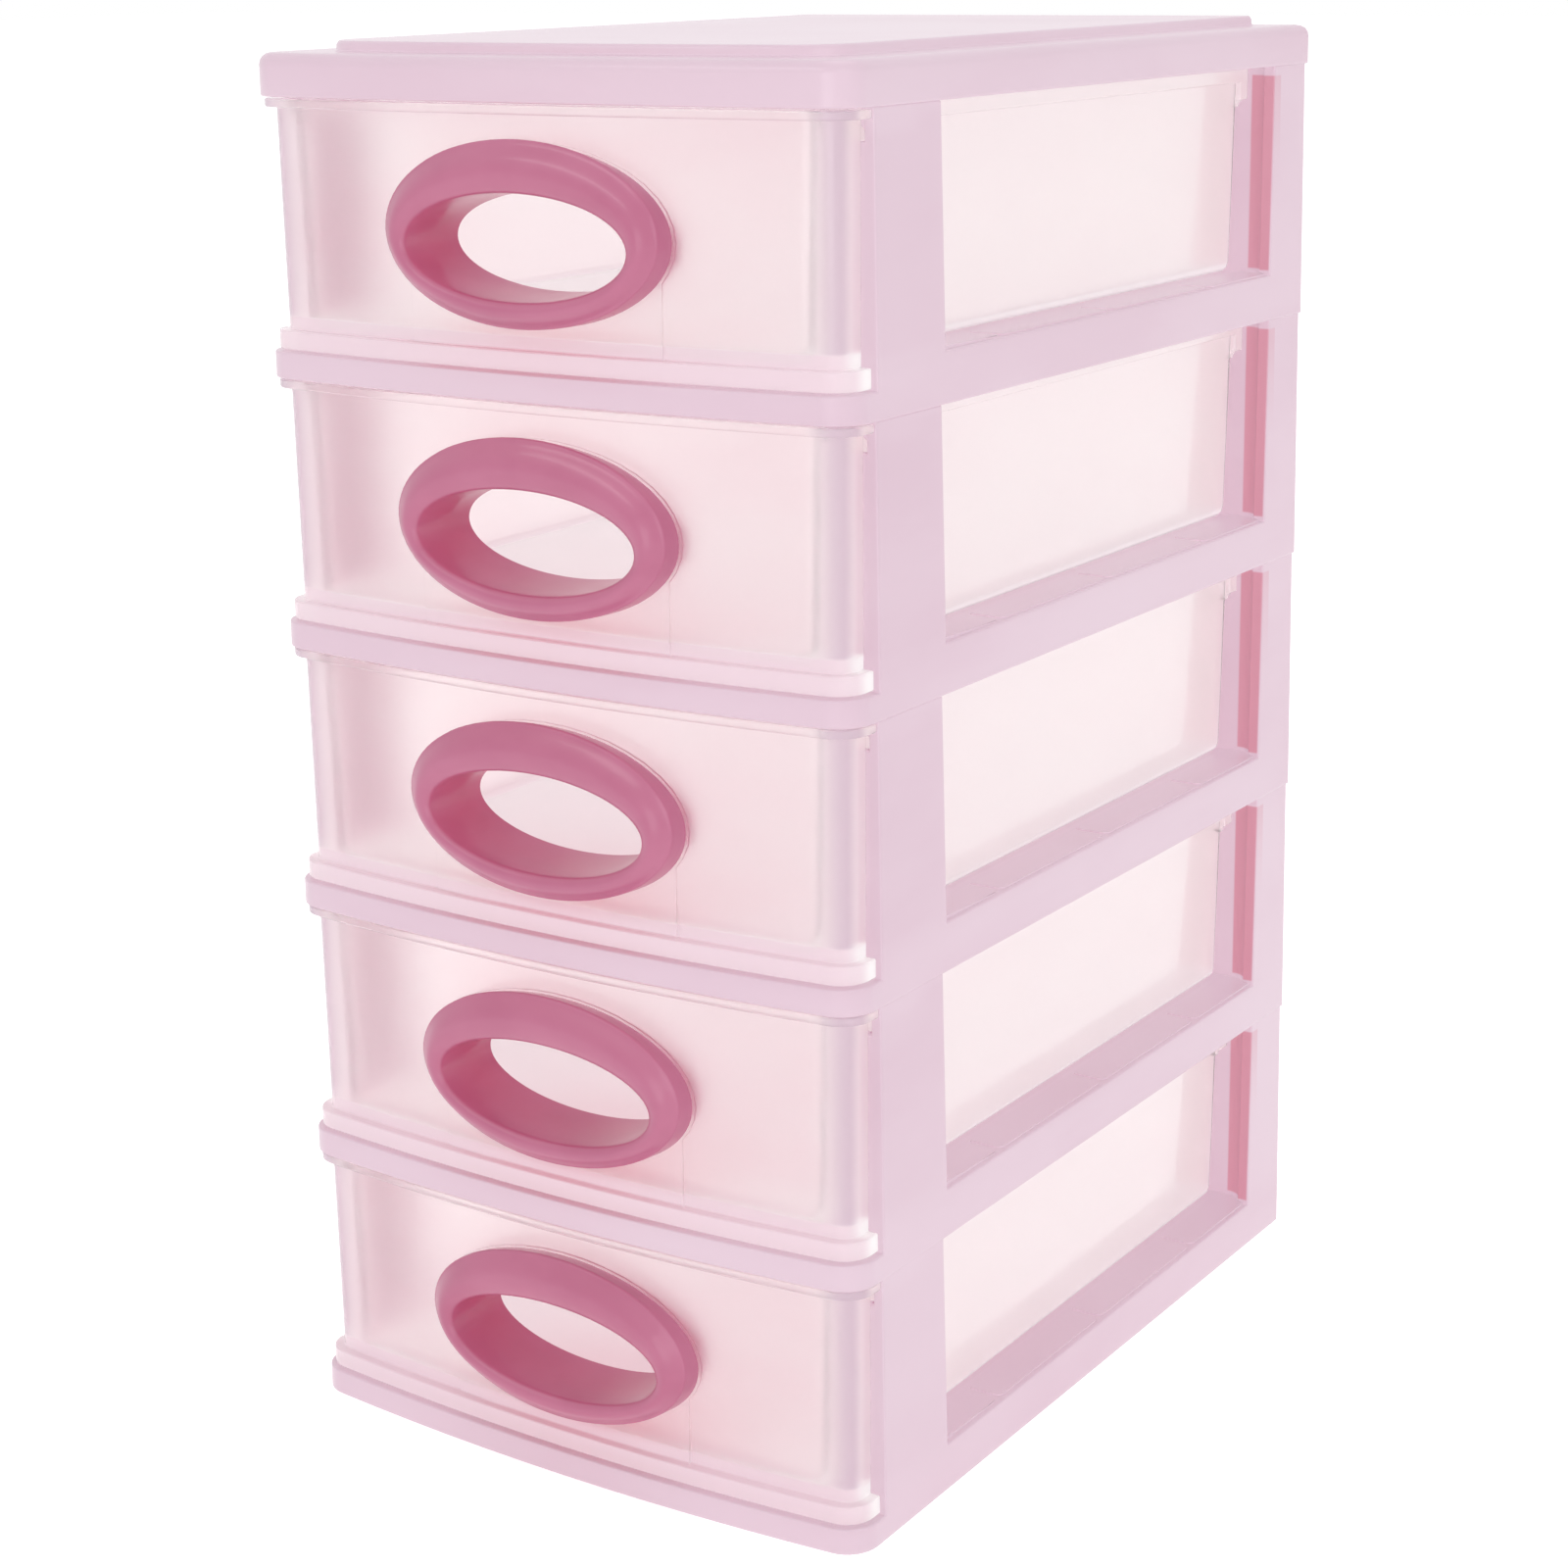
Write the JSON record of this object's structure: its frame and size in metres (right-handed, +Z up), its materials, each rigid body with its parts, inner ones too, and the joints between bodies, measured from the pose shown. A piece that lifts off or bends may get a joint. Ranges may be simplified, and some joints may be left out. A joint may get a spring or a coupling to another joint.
{
  "type": "drawer tower",
  "caption": "Desk-top tower of stacked plastic frames under a lid, each with a translucent bow-fronted drawer and an oval finger pull; the sides and back are open.",
  "frame": {"origin": "under the middle of the object's box, on the surface that it stands on", "axes": "+Z up, -Y towards the drawer fronts, +X across the width"},
  "size_m": [0.1162, 0.165, 0.2387],
  "materials": {
    "frame_plastic": "satin pearl lilac-pink polypropylene, slightly translucent",
    "drawer_plastic": "frosted translucent polypropylene, faintly pink",
    "pull_plastic": "satin raspberry-pink polypropylene"
  },
  "bodies": {
    "tower": {"frame_1": "frame_plastic", "frame_2": "frame_plastic", "frame_3": "frame_plastic", "frame_4": "frame_plastic", "frame_5": "frame_plastic", "lid": "frame_plastic"},
    "drawer_1": {"drawer_1": "drawer_plastic", "pull_1": "pull_plastic"},
    "drawer_2": {"drawer_2": "drawer_plastic", "pull_2": "pull_plastic"},
    "drawer_3": {"drawer_3": "drawer_plastic", "pull_3": "pull_plastic"},
    "drawer_4": {"drawer_4": "drawer_plastic", "pull_4": "pull_plastic"},
    "drawer_5": {"drawer_5": "drawer_plastic", "pull_5": "pull_plastic"}
  },
  "joints": [
    {"name": "drawer_1_slide", "type": "slide", "parent": "tower", "child": "drawer_1", "axis": [0, -1, 0], "range_m": [0, 0.11]},
    {"name": "drawer_2_slide", "type": "slide", "parent": "tower", "child": "drawer_2", "axis": [0, -1, 0], "range_m": [0, 0.11]},
    {"name": "drawer_3_slide", "type": "slide", "parent": "tower", "child": "drawer_3", "axis": [0, -1, 0], "range_m": [0, 0.11]},
    {"name": "drawer_4_slide", "type": "slide", "parent": "tower", "child": "drawer_4", "axis": [0, -1, 0], "range_m": [0, 0.11]},
    {"name": "drawer_5_slide", "type": "slide", "parent": "tower", "child": "drawer_5", "axis": [0, -1, 0], "range_m": [0, 0.11]}
  ]
}
